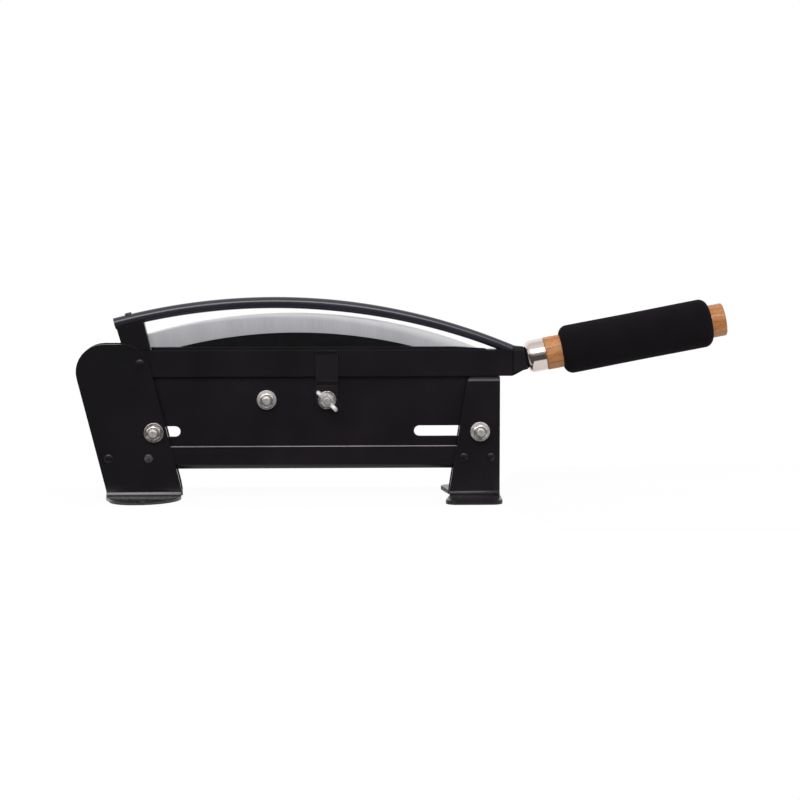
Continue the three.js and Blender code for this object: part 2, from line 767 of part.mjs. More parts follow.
// Pivot block: a leaning post between the bars, wider above them, with a saddle for the bow
function pivotBlock() {
  const half = blockWidth / 2;
  const topAt = (x) => bowHeight(x) - rodDiameter / 2 + saddleDepth;
  const rise = bowStartRise;
  const [topLeft, topRight] = [-half - leanSlope * rise, half - leanSlope * rise];
  const post = outline([
    [-half, pivotHeight - half, fullRound * half],
    [half, pivotHeight - half, fullRound * half],
    [half, pivotHeight],
    [topRight, topAt(topRight)],
    [topLeft, topAt(topLeft)],
    [-half, pivotHeight],
  ]);
  post.holes.push(roundHole(0, pivotHeight, pivotDiameter + holePlay));
  const headBottom = barTop + seatGap;
  const headSide = leanSlope * (headBottom - pivotHeight);
  const head = outline([
    [-half - headSide, headBottom],
    [half - headSide, headBottom],
    [topRight, topAt(topRight)],
    [topLeft, topAt(topLeft)],
  ]);
  const block = slab(post, -stackHalf, stackHalf).add(slab(head, -blockDepth / 2, blockDepth / 2));
  const pinHole = acrossBow(bowPinDiameter + holePlay, pinBelow + seatGap, rodDiameter);
  return block.subtract(bowRoom).subtract(pinHole);
}

// Neck: a tongue between the bars, a faceted body against the ferrule, and a tang inside the handle
function neck() {
  const start = barEnd + seatGap;
  const face = handleStart.clone().addScaledVector(handleAxis, -seatGap);
  const acrossFace = new THREE.Vector3(-handleAxis.z, 0, handleAxis.x).multiplyScalar(neckFaceHeight / 2);
  const [high, low] = [face.clone().add(acrossFace), face.clone().sub(acrossFace)];
  const top = barTop + neckRise;
  const side = outline([
    [start, barBottom],
    [start + neckShoulderLength, barBottom + neckShoulder],
    [low.x, low.z],
    [high.x, high.z],
    [start, top],
  ]);
  const half = neckWidth / 2;
  const section = outline([
    [-half, barBottom, neckCorner],
    [half, barBottom, neckCorner],
    [half, top, neckCorner],
    [-half, top, neckCorner],
  ]);
  const body = slab(side, -half, half).intersect(strip(section, start, low.x + seatGap));
  const tongue = outline([
    [start - tongueLength, pivotHeight - tongueHeight / 2],
    [start + neckCorner, pivotHeight - tongueHeight / 2],
    [start + neckCorner, pivotHeight + tongueHeight / 2],
    [start - tongueLength, pivotHeight + tongueHeight / 2],
  ]);
  const tangRadius = tangDiameter / 2;
  const tangRoot = neckLength / 2;
  const tang = new THREE.CylinderGeometry(tangRadius, tangRadius, tangLength + tangRoot, roundSides);
  tang.translate(0, (tangLength - tangRoot) / 2, 0);
  tang.rotateZ(-Math.PI / 2).rotateY(-tilt);
  tang.translate(handleStart.x, handleStart.y, handleStart.z);
  return body.add(slab(tongue, -stackHalf, stackHalf)).add(solid(tang)).subtract(bowRoom);
}

// Handle pieces, turned about the handle's own axis from the ferrule's front face
function ferrule() {
  const outer = woodDiameter / 2;
  const hole = tangDiameter / 2 + seatGap;
  const inside = ferruleShoulder - ferruleWall;
  return turned(
    [
      [hole, 0],
      ...arcPoints(outer - ferruleShoulder, ferruleShoulder, ferruleShoulder, -90, 0),
      [outer, ferruleLength],
      [outer - ferruleWall, ferruleLength],
      ...arcPoints(outer - ferruleShoulder, ferruleShoulder, inside, 0, -90),
      [hole, ferruleWall],
      [hole, 0],
    ],
    handleSides,
  );
}

function handleCore() {
  const outer = woodDiameter / 2;
  const bore = tangDiameter / 2 + seatGap;
  const boreEnd = tangLength + seatGap;
  const spigotCorner = outer - ferruleShoulder;
  const spigotRound = ferruleShoulder - ferruleWall - seatGap;
  return turned(
    [
      [0, boreEnd],
      [bore, boreEnd],
      [bore, ferruleWall + seatGap],
      ...arcPoints(spigotCorner, ferruleShoulder, spigotRound, -90, 0),
      [outer - ferruleWall - seatGap, ferruleLength + seatGap],
      [outer, ferruleLength + seatGap],
      ...arcPoints(outer - woodEndRound, handleLength - woodEndRound, woodEndRound, 0, 90),
      [0, handleLength],
    ],
    handleSides,
  );
}

function foamGrip() {
  const bore = woodDiameter / 2 + seatGap;
  const corner = foamDiameter / 2 - foamRound;
  const foamEnd = foamStart + foamLength;
  return turned(
    [
      [bore, foamStart],
      ...arcPoints(corner, foamStart + foamRound, foamRound, -90, 0),
      ...arcPoints(corner, foamEnd - foamRound, foamRound, 0, 90),
      [bore, foamEnd],
      [bore, foamStart],
    ],
    handleSides,
  );
}

// Assembly
const cutter = new THREE.Group();

function addLegs() {
  const legs = { left: leftFrontLeg(), right: rightFrontLeg() };
  for (const [side, leg] of Object.entries(legs)) {
    addPiece(cutter, `${side}_front_leg`, leg, blackPaint);
    addPiece(cutter, `${side}_rear_leg`, mirroredToRear(leg), blackPaint);
  }
}

function addRail() {
  addPiece(cutter, "base_rail", baseRail(), blackPaint);
  for (const [place, x] of Object.entries(rivetXs)) {
    const rivet = headedPin(x, rivetHeight, rivetDiameter, rivetHeadDiameter, rivetHeadHeight);
    addPiece(cutter, `${place}_rivet`, rivet, blackPaint);
  }
}

function fastenerAt(x, z) {
  const place = new THREE.Group();
  place.position.set(x, 0, z);
  cutter.add(place);
  return place;
}

function addLegBolts() {
  const frontSpacer = ring(spacerDiameter, boltHole, -legInner + seatGap, plateFront - seatGap);
  const rearSpacer = ring(spacerDiameter, boltHole, plateRear + seatGap, legInner - seatGap);
  const seat = nutSeat(-legOuter);
  for (const [side, x] of Object.entries({ left: leftBoltX, right: rightBoltX })) {
    const place = fastenerAt(x, legBoltHeight);
    addPiece(place, `${side}_leg_bolt`, hexBolt(legOuter + seatGap, seat - nutHeight - boltTail), zincPlate);
    addPiece(place, `${side}_leg_washer`, washerOn(-legOuter, washerDiameter), zincPlate);
    addPiece(place, `${side}_leg_nut`, hexNut(seat), zincPlate);
    addPiece(place, `${side}_front_spacer`, frontSpacer, zincPlate);
    addPiece(place, `${side}_rear_spacer`, rearSpacer, zincPlate);
  }
}

function addBlade() {
  addPiece(cutter, "blade_plate", bladePlate(), blackPaint);
  addPiece(cutter, "blade", blade(), groundSteel);
  const seat = nutSeat(plateFront);
  const place = fastenerAt(clampBoltX, clampBoltHeight);
  addPiece(place, "blade_bolt", hexBolt(bladeRear + seatGap, seat - nutHeight - boltTail), zincPlate);
  addPiece(place, "blade_washer", washerOn(plateFront, washerDiameter), zincPlate);
  addPiece(place, "blade_nut", hexNut(seat), zincPlate);
}

function addGuide() {
  addPiece(cutter, "guide_clip", guideClip(), blackPaint);
  const clipFace = plateFront - seatGap - clipSheet;
  const seat = nutSeat(clipFace);
  const place = fastenerAt(guideBoltX, clampBoltHeight);
  addPiece(place, "guide_bolt", hexBolt(bladeRear + seatGap, seat - wingNutHeight - boltTail), zincPlate);
  addPiece(place, "guide_washer", washerOn(clipFace, guideWasherDiameter), zincPlate);
  const wings = new THREE.Group();
  wings.rotation.y = THREE.MathUtils.degToRad(wingAngle);
  place.add(wings);
  addPiece(wings, "wing_nut", wingNut(seat), zincPlate);
}

function addArm() {
  const pivotPin = headedPin(0, pivotHeight, pivotDiameter, pivotHeadDiameter, pivotHeadHeight);
  addPiece(cutter, "pivot_pin", pivotPin, blackenedSteel);
  const bar = frontBar();
  addPiece(cutter, "front_press_bar", bar, blackPaint);
  addPiece(cutter, "rear_press_bar", mirroredToRear(bar), blackPaint);
  addPiece(cutter, "pivot_block", pivotBlock(), blackPaint);
  addPiece(cutter, "bow_rod", bowRod(), blackenedSteel);
  addPiece(cutter, "bow_pin", bowPin(), blackenedSteel);
  addPiece(cutter, "neck", neck(), blackPaint);
  const handle = new THREE.Group();
  handle.position.copy(handleStart);
  handle.quaternion.setFromUnitVectors(new THREE.Vector3(0, 1, 0), handleAxis);
  cutter.add(handle);
  addPiece(handle, "ferrule", ferrule(), nickelPlate);
  addPiece(handle, "handle_core", handleCore(), turnedWood);
  addPiece(handle, "foam_grip", foamGrip(), blackFoam);
}

addLegs();
addRail();
addLegBolts();
addBlade();
addGuide();
addArm();

// The origin lies on the floor, under the middle of the cutter's length
const reach = new THREE.Box3().setFromObject(cutter, true);
for (const piece of cutter.children) piece.position.x -= (reach.min.x + reach.max.x) / 2;

export default cutter;
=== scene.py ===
"""Looks of the herb guillotine cutter: finishes, softened edges, bow, threads, handle and the studio.

Metres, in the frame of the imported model: +X towards the handle, +Y to the rear, +Z up.
"""

import json
import math

import bmesh
import bpy
from mathutils import Matrix, Vector


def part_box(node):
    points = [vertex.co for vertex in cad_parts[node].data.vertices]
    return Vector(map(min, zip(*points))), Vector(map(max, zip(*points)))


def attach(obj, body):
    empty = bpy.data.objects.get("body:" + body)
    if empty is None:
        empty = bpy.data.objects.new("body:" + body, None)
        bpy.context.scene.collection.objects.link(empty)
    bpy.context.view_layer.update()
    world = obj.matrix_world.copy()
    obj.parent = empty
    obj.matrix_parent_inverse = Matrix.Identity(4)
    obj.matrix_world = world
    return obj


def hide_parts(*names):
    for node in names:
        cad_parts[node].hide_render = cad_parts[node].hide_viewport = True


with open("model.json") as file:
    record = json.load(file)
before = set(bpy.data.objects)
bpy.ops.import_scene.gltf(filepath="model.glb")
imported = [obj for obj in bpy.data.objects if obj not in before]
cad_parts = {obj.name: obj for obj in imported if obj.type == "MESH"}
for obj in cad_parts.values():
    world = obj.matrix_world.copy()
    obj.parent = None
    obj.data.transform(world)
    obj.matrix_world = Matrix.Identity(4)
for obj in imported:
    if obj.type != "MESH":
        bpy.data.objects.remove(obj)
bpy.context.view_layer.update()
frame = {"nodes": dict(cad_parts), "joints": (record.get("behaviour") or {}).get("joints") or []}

MM = 0.001
PIVOT = Vector(next(j["pos_m"] for j in frame["joints"] if j["name"] == "arm_hinge"))

# Blade
EDGE_RADIUS = 387 * MM
EDGE_CREST_FROM_PIVOT = 114.4 * MM
EDGE_DEPTH = 1 * MM
BEVEL_WIDTH = 14.9 * MM
PLATE_SHADE_FADE = 0.4 * MM  # from the plate's top edge down to where the steel behind it is painted near black, as painted shade
HONED_SPAN = (-90 * MM, 140 * MM)  # along the edge, from its crest
HONED_WIDTH = (2 * MM, 9 * MM)  # at the two ends of that span
FLAT_FACING = 0.999  # faces that point this straight to the front are the blade's flat
EDGE_FACING = 0.5  # and those that point less to the front than this are its outline

# Bow
ROD_DIAMETER = 8.7 * MM
ROD_SIDES = 32
ROD_TAPER = (0.55, 0.95)  # shares of the bow's length between which it thins
ROD_THIN_END = 0.86  # share of the diameter left at the handle's end
BOW_START = Vector((-19.4 * MM, 0, 30 * MM))  # from the pivot
BOW_END_INSET = 1.6 * MM  # from the bars' ends back to the end of the arch
BOW_END_RISE = 0.1 * MM
BOW_CLEARANCE = 2.5 * MM
BOW_CLOSEST_FROM_PIVOT = 180 * MM
BOW_TAIL_RADIUS = 20 * MM
BOW_TAIL_TURN = math.radians(18)
BOW_STEP = 2 * MM
TAIL_STEP = 1 * MM

# Handle, along its own axis
HANDLE_START = Vector((293.4 * MM, 0, 3.6 * MM))  # from the pivot
HANDLE_TILT = math.radians(10.85)
WOOD_RADIUS = 12.5 * MM
WOOD_LENGTH = 154.4 * MM
WOOD_END_ROUND = 1.5 * MM
WOOD_CHAMFER = 0.6 * MM
WOOD_GROOVE = 0.4 * MM  # between the ferrule and the wood's full width
FERRULE_LENGTH = 14.6 * MM
FERRULE_SHOULDER = 5 * MM
FERRULE_WALL = 1 * MM
TANG_HOLE = 4.3 * MM  # radius
FOAM_START = 27.4 * MM
FOAM_LENGTH = 116 * MM
FOAM_RADIUS = 18.5 * MM
FOAM_ROUND = 7 * MM
FOAM_WAIST = 0.15 * MM
FOAM_STEPS = 24
SEAT_GAP = 0.3 * MM
ON_AXIS = 0.01 * MM  # radius of a point that stands for the axis
TURNED_SIDES = 96
ARC_STEPS = 10

# Bolts and nuts
BOLT_RADIUS = 3 * MM
BOLT_PLAY = 0.3 * MM
THREAD_PITCH = 1 * MM
THREAD_DEPTH = 0.3 * MM
THREAD_STEPS = 28  # points in each turn
RIDGE_SIDES = 3
NUT_FACE = 0.93  # radius of the round face, as a share of half the distance across flats
NUT_CHAMFER = math.radians(30)
NUT_SINK = 0.5 * MM
NUT_SIDES = 72
NUT_SHARP = math.radians(20)
HEX_TURN = math.pi / 3

# Softened edges
SHEET_EDGE = 0.3 * MM
RAIL_EDGE = 0.6 * MM
FASTENER_EDGE = 0.4 * MM
CAST_EDGE = 0.6 * MM
BOLT_END = 0.8 * MM
EDGE_SEGMENTS = 2
WELD = 0.01 * MM
FLAT_ANGLE = math.radians(0.5)
SHARP_ANGLE = math.radians(32)
LARGE_FACE = 4  # a face this many times its neighbour's size is a flat one beside a bend
# The faces of the feet's bends, picked out by the next two, take a painted highlight
BEND_SLOPE = (0.12, 0.8)  # how far up the faces of a foot's bend point
BEND_HEIGHT = 10 * MM  # the feet's bends lie below it
HINGE_SIDE = 8 * MM  # from the pivot to where the plate's corner shows beside it
PLATE_LAP = 0.1 * MM

# Patterns, as sizes in millimetres
PAINT_CLOUD = 35
PAINT_PATCH = 1.6
ORANGE_PEEL = 0.9
GRINDING = 0.7  # real lines are about 0.1 mm apart, drawn coarser so that they show
GRINDING_PATCH = 18
HARDENING_SCALE = 6
ZINC_MOTTLE = 2.5  # real crystals are under 1 mm, drawn coarser so that they show
SPUN_MARKS = 0.6  # real ones are about 0.1 mm apart, drawn coarser so that they show
WOOD_GRAIN = 2.2
WOOD_FLECK = 0.55
FOAM_PORE = 0.8
FOAM_MARK = 14

# Scale of a pattern along its lines: a low one draws it out
GRINDING_STRETCH = 0.06
SPUN_STRETCH = 0.05
GRAIN_STRETCH = 0.06
FLECK_STRETCH = 0.18

NOISE_REACH = {"From Min": 0.3, "From Max": 0.7}  # between which most of a noise lies


def linear(hex_colour):
    """A colour written as sRGB hex, as the linear colour that shaders take."""
    parts = [int(hex_colour[i : i + 2], 16) / 255 for i in (1, 3, 5)]
    return (*(c / 12.92 if c <= 0.04045 else ((c + 0.055) / 1.055) ** 2.4 for c in parts), 1)


def per_metre(size_mm):
    """The texture scale at which one repeat of a pattern takes that many millimetres."""
    return 1 / (size_mm * MM)


def add(tree, kind, inputs=None, stops=(), **settings):
    """One node with its settings, and a ramp's (position, colour) stops. An input takes a value, an output of
    another node, or a node, for its first output."""
    made = tree.nodes.new(kind)
    for name, value in settings.items():
        setattr(made, name, value)
    for name, value in (inputs or {}).items():
        if isinstance(value, bpy.types.Node):
            value = value.outputs[0]
        if isinstance(value, bpy.types.NodeSocket):
            tree.links.new(value, made.inputs[name])
        else:
            made.inputs[name].default_value = value
    if stops:
        elements = made.color_ramp.elements
        while len(elements) < len(stops):
            elements.new(1)
        for element, (position, colour) in zip(elements, stops):
            element.position, element.color = position, colour
    return made


def new_finish(name):
    """An empty material with its tree, and the place on the piece that its patterns read."""
    material = bpy.data.materials.new(name)
    material.use_nodes = True
    tree = material.node_tree
    tree.nodes.clear()
    return material, tree, add(tree, "ShaderNodeTexCoord").outputs["Object"]


def surface(material, inputs):
    """The material, ended with one shader that takes its patterns and its constant values."""
    shader = add(material.node_tree, "ShaderNodeBsdfPrincipled", inputs)
    add(material.node_tree, "ShaderNodeOutputMaterial", {"Surface": shader})
    return material


def stoved_black_paint(name, dark, light, low_rough, high_rough, shine, cloud_mm=PAINT_CLOUD):
    """Black stoving paint on sheet steel: an even satin skin with slight orange peel and cloudy gloss."""
    material, tree, place = new_finish(name)
    cloud = add(tree, "ShaderNodeTexNoise", {"Vector": place, "Scale": per_metre(cloud_mm), "Detail": 4.0})
    peel = add(tree, "ShaderNodeTexNoise", {"Vector": place, "Scale": per_metre(ORANGE_PEEL), "Detail": 2.0})
    colour = add(tree, "ShaderNodeValToRGB", {"Fac": cloud}, [(0.35, linear(dark)), (0.7, linear(light))])
    rough = add(
        tree,
        "ShaderNodeMapRange",
        {"Value": cloud, **NOISE_REACH, "To Min": low_rough, "To Max": high_rough},
    )
    bump = add(tree, "ShaderNodeBump", {"Height": peel, "Strength": 0.12, "Distance": 0.05 * MM})
    return surface(
        material, {"Base Color": colour, "Roughness": rough, "Normal": bump, "Specular IOR Level": shine}
    )


def ground_blade_steel():
    """Carbon steel ground across the edge: mid grey with fine grinding lines square to the edge, and a paler
    honed strip along the edge that widens towards the handle. The bevel is painted darker away from the edge,
    towards the bar, as shade, and the steel behind the plate is painted near black as shade."""
    material, tree, place = new_finish("ground_blade_steel")
    centre = add(tree, "ShaderNodeVectorMath", {0: place, 1: edge_centre()}, operation="SUBTRACT")
    axes = add(tree, "ShaderNodeSeparateXYZ", {"Vector": centre}).outputs
    angle = add(tree, "ShaderNodeMath", {0: axes["X"], 1: axes["Z"]}, operation="ARCTAN2")
    along = add(tree, "ShaderNodeMath", {0: angle, 1: EDGE_RADIUS}, operation="MULTIPLY")
    flat = add(tree, "ShaderNodeCombineXYZ", {"X": axes["X"], "Z": axes["Z"]})
    across = add(tree, "ShaderNodeVectorMath", {0: flat}, operation="LENGTH").outputs["Value"]
    stretched = add(tree, "ShaderNodeMath", {0: across, 1: GRINDING_STRETCH}, operation="MULTIPLY")
    lines_at = add(tree, "ShaderNodeCombineXYZ", {"X": along, "Y": stretched})
    lines = add(
        tree, "ShaderNodeTexNoise", {"Vector": lines_at, "Scale": per_metre(GRINDING), "Detail": 3.0}
    )
    patches = add(
        tree, "ShaderNodeTexNoise", {"Vector": lines_at, "Scale": per_metre(GRINDING_PATCH), "Detail": 2.0}
    )
    both = add(tree, "ShaderNodeMath", {0: lines, 1: patches}, operation="ADD")
    half = add(tree, "ShaderNodeMath", {0: both, 1: 0.5}, operation="MULTIPLY")
    ground = add(
        tree, "ShaderNodeValToRGB", {"Fac": half}, [(0.3, linear("#c8c8cd")), (0.7, linear("#dcdce0"))]
    )
    inside = add(tree, "ShaderNodeMath", {0: EDGE_RADIUS, 1: across}, operation="SUBTRACT")
    # painted shade: the bevel darkens away from the edge, towards the bar
    painted_shade_across_bevel = add(
        tree,
        "ShaderNodeMapRange",
        {"Value": inside, "From Max": BEVEL_WIDTH, "To Min": 1.0, "To Max": 0.78},
    )
    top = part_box("blade_plate")[1].z
    height = add(tree, "ShaderNodeSeparateXYZ", {"Vector": place}).outputs["Z"]
    # painted shade: the steel below the plate's top edge goes near black
    painted_shade_behind_plate = add(
        tree,
        "ShaderNodeMapRange",
        {"Value": height, "From Min": top - PLATE_SHADE_FADE, "From Max": top, "To Min": 0.02, "To Max": 1.0},
    )
    lit = add(tree, "ShaderNodeMath", {0: painted_shade_across_bevel, 1: painted_shade_behind_plate}, operation="MULTIPLY")
    dimmed = add(tree, "ShaderNodeVectorMath", {0: ground, "Scale": lit}, operation="SCALE")
    span_start, span_end = HONED_SPAN
    narrow, wide = HONED_WIDTH
    width = add(
        tree,
        "ShaderNodeMapRange",
        {"Value": along, "From Min": span_start, "From Max": span_end, "To Min": narrow, "To Max": wide},
    )
    reach = add(tree, "ShaderNodeMath", {0: inside, 1: width}, operation="DIVIDE")
    honed = add(
        tree,
        "ShaderNodeMapRange",
        {"Value": reach, "To Min": 1.0, "To Max": 0.0},
        interpolation_type="SMOOTHSTEP",
    )
    colour = add(
        tree, "ShaderNodeMix", {0: honed, 6: dimmed, 7: linear("#f2f2f4")}, data_type="RGBA"
    ).outputs[2]
    rough = add(tree, "ShaderNodeMapRange", {"Value": honed, "To Min": 0.42, "To Max": 0.6})
    bump = add(tree, "ShaderNodeBump", {"Height": lines, "Strength": 0.15, "Distance": 0.02 * MM})
    return surface(material, {"Base Color": colour, "Roughness": rough, "Normal": bump, "Metallic": 1.0})


def blued_blade_steel():
    """The blade's flat: steel darkened by hardening, blue-black with faint scale."""
    material, tree, place = new_finish("blued_blade_steel")
    scale = add(
        tree, "ShaderNodeTexNoise", {"Vector": place, "Scale": per_metre(HARDENING_SCALE), "Detail": 6.0}
    )
    colour = add(
        tree, "ShaderNodeValToRGB", {"Fac": scale}, [(0.3, linear("#08080a")), (0.75, linear("#0d0d11"))]
    )
    rough = add(tree, "ShaderNodeMapRange", {"Value": scale, **NOISE_REACH, "To Min": 0.4, "To Max": 0.55})
    return surface(material, {"Base Color": colour, "Roughness": rough, "Specular IOR Level": 0.2})


def bright_zinc(name, dark, light, low_rough, high_rough):
    """Zinc-plated steel: bright, slightly warm grey, with a faint crystalline mottle and handling haze."""
    material, tree, place = new_finish(name)
    mottle = add(
        tree, "ShaderNodeTexNoise", {"Vector": place, "Scale": per_metre(ZINC_MOTTLE), "Detail": 3.0}
    )
    colour = add(tree, "ShaderNodeValToRGB", {"Fac": mottle}, [(0.3, linear(dark)), (0.7, linear(light))])
    rough = add(
        tree,
        "ShaderNodeMapRange",
        {"Value": mottle, **NOISE_REACH, "To Min": low_rough, "To Max": high_rough},
    )
    return surface(material, {"Base Color": colour, "Roughness": rough, "Metallic": 1.0})


def polished_nickel():
    """Nickel-plated ferrule: nearly a mirror, faintly warm, with spun marks round its axis."""
    material, tree, place = new_finish("polished_nickel")
    turned = add(tree, "ShaderNodeMapping", {"Vector": place, "Rotation": (0, HANDLE_TILT, 0)})
    drawn = add(tree, "ShaderNodeMapping", {"Vector": turned, "Scale": (1, SPUN_STRETCH, SPUN_STRETCH)})
    marks = add(tree, "ShaderNodeTexNoise", {"Vector": drawn, "Scale": per_metre(SPUN_MARKS), "Detail": 3.0})
    colour = add(
        tree, "ShaderNodeValToRGB", {"Fac": marks}, [(0.3, linear("#e6d8d2")), (0.7, linear("#eee0d9"))]
    )
    rough = add(tree, "ShaderNodeMapRange", {"Value": marks, **NOISE_REACH, "To Min": 0.08, "To Max": 0.11})
    return surface(material, {"Base Color": colour, "Roughness": rough, "Metallic": 1.0})


def turned_beech():
    """Turned beech: pinkish tan with long grain along the handle, short dark flecks and a thin clear coat."""
    material, tree, place = new_finish("turned_beech")
    turned = add(tree, "ShaderNodeMapping", {"Vector": place, "Rotation": (0, HANDLE_TILT, 0)})
    grain_at = add(tree, "ShaderNodeMapping", {"Vector": turned, "Scale": (GRAIN_STRETCH, 1, 1)})
    grain = add(
        tree, "ShaderNodeTexNoise", {"Vector": grain_at, "Scale": per_metre(WOOD_GRAIN), "Detail": 6.0}
    )
    tan = add(
        tree,
        "ShaderNodeValToRGB",
        {"Fac": grain},
        [(0.28, linear("#a8693a")), (0.5, linear("#c6844a")), (0.75, linear("#d59a60"))],
    )
    fleck_at = add(tree, "ShaderNodeMapping", {"Vector": turned, "Scale": (FLECK_STRETCH, 1, 1)})
    flecks = add(
        tree, "ShaderNodeTexNoise", {"Vector": fleck_at, "Scale": per_metre(WOOD_FLECK), "Detail": 2.0}
    )
    shade = add(
        tree, "ShaderNodeValToRGB", {"Fac": flecks}, [(0.32, linear("#b58a66")), (0.45, linear("#ffffff"))]
    )
    colour = add(
        tree, "ShaderNodeMix", {0: 1.0, 6: tan, 7: shade}, data_type="RGBA", blend_type="MULTIPLY"
    ).outputs[2]
    rough = add(tree, "ShaderNodeMapRange", {"Value": grain, **NOISE_REACH, "To Min": 0.6, "To Max": 0.45})
    bump = add(tree, "ShaderNodeBump", {"Height": flecks, "Strength": 0.2, "Distance": 0.05 * MM})
    coat = {"Coat Weight": 0.15, "Coat Roughness": 0.35}
    return surface(material, {"Base Color": colour, "Roughness": rough, "Normal": bump, **coat})


def closed_cell_foam():
    """Black closed-cell foam rubber: dead matt, with a fine skin of pores and faint handling marks."""
    material, tree, place = new_finish("closed_cell_foam")
    pores = add(tree, "ShaderNodeTexVoronoi", {"Vector": place, "Scale": per_metre(FOAM_PORE)})
    marks = add(tree, "ShaderNodeTexNoise", {"Vector": place, "Scale": per_metre(FOAM_MARK), "Detail": 5.0})
    colour = add(
        tree, "ShaderNodeValToRGB", {"Fac": marks}, [(0.3, linear("#110e11")), (0.7, linear("#181518"))]
    )
    rough = add(tree, "ShaderNodeMapRange", {"Value": marks, **NOISE_REACH, "To Min": 0.9, "To Max": 1.0})
    bump = add(tree, "ShaderNodeBump", {"Height": pores, "Strength": 0.35, "Distance": 0.15 * MM})
    return surface(
        material, {"Base Color": colour, "Roughness": rough, "Normal": bump, "Specular IOR Level": 0.12}
    )


def edge_centre():
    """The centre of the circle that the blade's edge is part of."""
    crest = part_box("blade")[1].z
    return Vector((PIVOT.x + EDGE_CREST_FROM_PIVOT, 0, crest - EDGE_RADIUS))


def new_piece(name, mesh, *materials):
    """An object with that mesh and those materials, in the scene."""
    piece = bpy.data.objects.new(name, mesh)
    bpy.context.scene.collection.objects.link(piece)
    mesh.materials.clear()
    for material in materials:
        mesh.materials.append(material)
    return piece


def finish_piece(piece, body, slot, *nodes):
    """The piece moves with its body and stands for its solids. The slot is not used."""
    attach(piece, body)
    if nodes:
        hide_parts(*nodes)


def on_a_curve(face):
    """Whether a face is a strip of a bend or a round, and no part of a flat."""
    curved = False
    for edge in face.edges:
        turn = edge.calc_face_angle(0)
        if turn < FLAT_ANGLE:
            return False
        small, large = sorted(beside.calc_area() for beside in edge.link_faces)
        curved |= turn < SHARP_ANGLE and large < LARGE_FACE * small
    return curved


def merged_copy(node):
    """A solid's mesh with its triangles joined in pairs, smooth on its curves and flat elsewhere."""
    mesh = frame["nodes"][node].data.copy()
    work = bmesh.new()
    work.from_mesh(mesh)
    bmesh.ops.remove_doubles(work, verts=work.verts, dist=WELD)
    bmesh.ops.join_triangles(
        work, faces=work.faces, angle_face_threshold=FLAT_ANGLE, angle_shape_threshold=math.pi
    )
    for face in work.faces:
        face.smooth = on_a_curve(face)
    work.to_mesh(mesh)
    work.free()
    return mesh


def softened(node, body, slot, edge, finish, edge_finish=None, bend_highlight_finish=None):
    """The solid with its sharp edges rounded, as paint and punching leave them, and a foot's bend told apart
    by the way that its faces point, to take a third finish: a painted highlight along the bend."""
    mesh = merged_copy(node)
    piece = new_piece(f"{node}_finished", mesh, finish, edge_finish or finish, bend_highlight_finish or finish)
    low, high = BEND_SLOPE
    for face in mesh.polygons:
        # a bend's faces take the third finish, a painted highlight
        on_bend = face.use_smooth and low < face.normal.z < high and face.center.z < BEND_HEIGHT
        face.material_index = 2 if on_bend else 0
    bevel = piece.modifiers.new("rounded edges", "BEVEL")
    bevel.width = edge
    bevel.segments = EDGE_SEGMENTS
    bevel.limit_method = "ANGLE"
    bevel.angle_limit = SHARP_ANGLE
    bevel.use_clamp_overlap = False
    bevel.harden_normals = True
    bevel.material = 1
    finish_piece(piece, body, slot, node)
    return piece


def plate_piece(finish, edge_finish):
    """The blade plate, its corner by the hinge drawn up behind the bar so that no light shows past it."""
    piece = softened("blade_plate", "base", "black_paint", SHEET_EDGE, finish, edge_finish)
    under_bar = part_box("front_press_bar")[0].z
    for corner in piece.data.vertices:
        beside = corner.co.x - PIVOT.x
        if HINGE_SIDE < beside < 2 * HINGE_SIDE and under_bar - HINGE_SIDE < corner.co.z < under_bar:
            corner.co.z = under_bar + PLATE_LAP


def blade_piece(bevel_finish, flat_finish):
    """The blade, its ground bevel and its dark flat told apart by the way that their faces point."""
    mesh = merged_copy("blade")
    mesh.shade_flat()
    piece = new_piece("blade_ground", mesh, flat_finish, bevel_finish)
    centre = edge_centre()
    for face in mesh.polygons:
        on_bevel = EDGE_FACING < -face.normal.y < FLAT_FACING
        near_edge = (face.center - centre).length > EDGE_RADIUS - EDGE_DEPTH
        on_edge = abs(face.normal.y) < EDGE_FACING and near_edge
        face.material_index = 1 if on_bevel or on_edge else 0
    finish_piece(piece, "base", "blade_steel", "blade")


def circle_through(a, b, c):
    """Centre and radius of the circle through three points of the XZ plane."""
    d = 2 * (a.x * (b.z - c.z) + b.x * (c.z - a.z) + c.x * (a.z - b.z))
    aa, bb, cc = a.x**2 + a.z**2, b.x**2 + b.z**2, c.x**2 + c.z**2
    x = (aa * (b.z - c.z) + bb * (c.z - a.z) + cc * (a.z - b.z)) / d
    z = (aa * (c.x - b.x) + bb * (a.x - c.x) + cc * (b.x - a.x)) / d
    centre = Vector((x, 0, z))
    return centre, (a - centre).length


